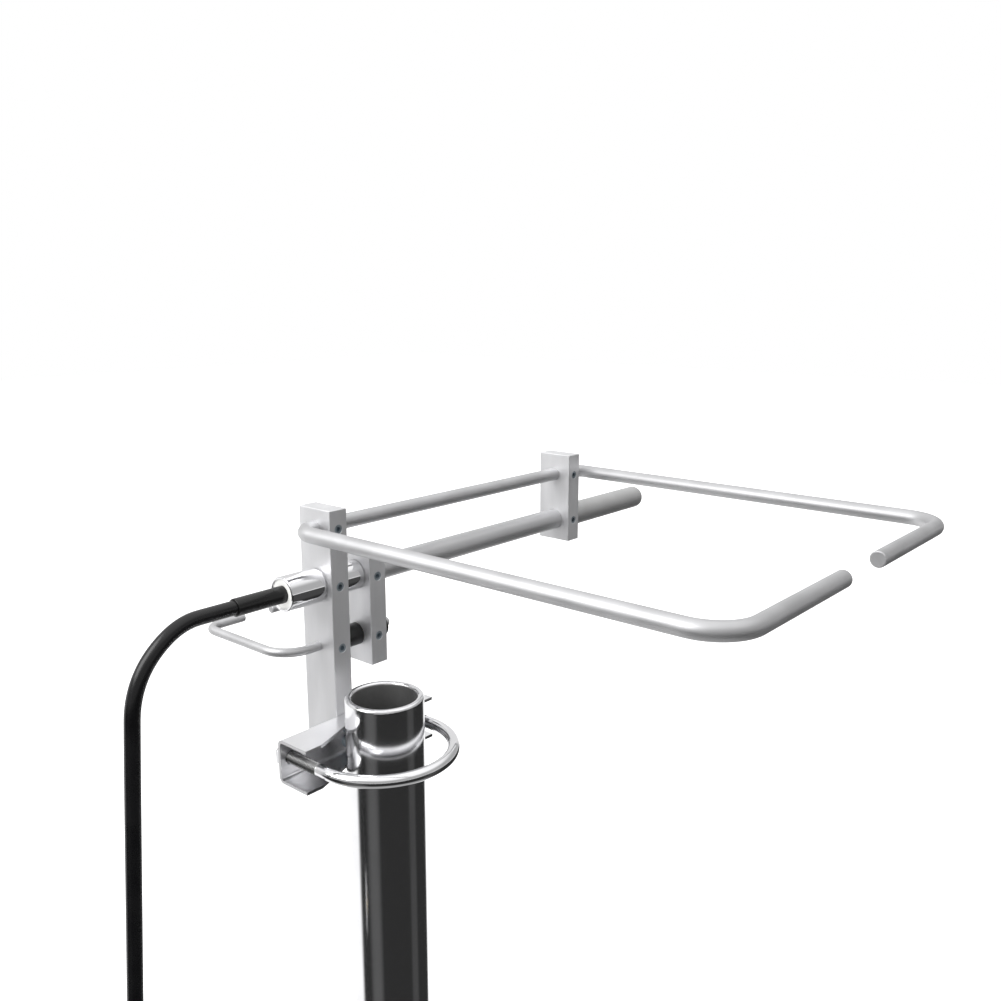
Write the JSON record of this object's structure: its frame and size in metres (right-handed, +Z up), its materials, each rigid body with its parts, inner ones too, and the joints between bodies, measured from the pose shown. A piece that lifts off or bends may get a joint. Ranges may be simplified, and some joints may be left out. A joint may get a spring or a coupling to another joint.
{
  "type": "mast-mounted loop antenna",
  "caption": "Horizontal open-loop antenna with a large and a small bent rod loop, sliding shorting bars, coax pigtail, and a saddle and U-bolt clamp on a mast stub.",
  "frame": {"origin": "on the mast's axis, at its lower end", "axes": "+Z up along the mast, +X along the rods that pass through the bars, +Y from the mast to the bars"},
  "size_m": [0.5324, 0.3943, 0.4174],
  "materials": {
    "mast_steel": "mirror-polished stainless steel tube",
    "bar_aluminium": "satin extruded flat bar",
    "rod_aluminium": "satin drawn rod",
    "tube_aluminium": "smooth drawn tube",
    "cap_aluminium": "dull grey, bead blasted",
    "screw_steel": "zinc plated, grey-blue",
    "polished_steel": "polished stainless sheet",
    "polished_rod_steel": "polished stainless rod",
    "chromed_brass": "bright chrome",
    "brass": "plain turned brass",
    "copper": "bare copper wire",
    "black_plastic": "black acetal",
    "white_plastic": "white fluoropolymer",
    "black_rubber": "black adhesive-lined sleeve",
    "black_jacket": "satin black cable jacket",
    "gasket_rubber": "red-brown silicone",
    "nickel_plate": "nickel plated brass",
    "gold_plate": "gold plated contact"
  },
  "bodies": {
    "mast": {"mast_tube": "mast_steel"},
    "antenna": {"main_bar": "bar_aluminium", "main_bar_set_screws": "screw_steel", "large_loop_rod": "rod_aluminium", "small_loop_rod": "rod_aluminium", "small_loop_sleeve": "black_plastic", "feed_housing": "chromed_brass", "cable_bush": "white_plastic", "cable_boot": "black_rubber", "cable_lead_in": "black_jacket", "braid_clamp": "brass", "cable_dielectric": "white_plastic", "cable_inner_conductor": "copper", "feed_terminal": "brass", "gamma_tube": "tube_aluminium", "gamma_tube_liner": "white_plastic", "gamma_dielectric": "white_plastic", "gamma_rod": "brass", "gamma_end_cap": "cap_aluminium", "saddle": "polished_steel", "saddle_screws": "screw_steel", "u_bolt_washers": "polished_steel", "u_bolt_nuts": "polished_steel", "cable": "black_jacket", "plug_ferrule": "nickel_plate", "plug_body": "nickel_plate", "plug_insulator": "white_plastic", "plug_pin": "gold_plate", "plug_snap_ring": "brass", "plug_gasket": "gasket_rubber"},
    "large_short": {"large_shorting_bar": "bar_aluminium", "large_shorting_bar_screws": "screw_steel"},
    "small_short": {"small_shorting_bar": "bar_aluminium", "small_shorting_bar_screws": "screw_steel"},
    "u_bolt": {"u_bolt": "polished_rod_steel"},
    "coupling_nut": {"plug_coupling_nut": "nickel_plate"}
  },
  "joints": [
    {"name": "mast_swivel", "type": "hinge", "parent": "mast", "child": "antenna", "pos_m": [0, 0, 0.2636], "axis": [0, 0, 1], "range_deg": [-180, 180]},
    {"name": "large_short_slide", "type": "slide", "parent": "antenna", "child": "large_short", "axis": [1, 0, 0], "range_m": [-0.18, 0]},
    {"name": "small_short_slide", "type": "slide", "parent": "antenna", "child": "small_short", "axis": [1, 0, 0], "range_m": [0, 0.008]},
    {"name": "u_bolt_draw", "type": "slide", "parent": "antenna", "child": "u_bolt", "axis": [0, 1, 0], "range_m": [0, 0.013]},
    {"name": "coupling_nut_spin", "type": "hinge", "parent": "antenna", "child": "coupling_nut", "pos_m": [-0.1546, 0.0507, 0.06], "axis": [0, 0, 1], "continuous": true}
  ]
}
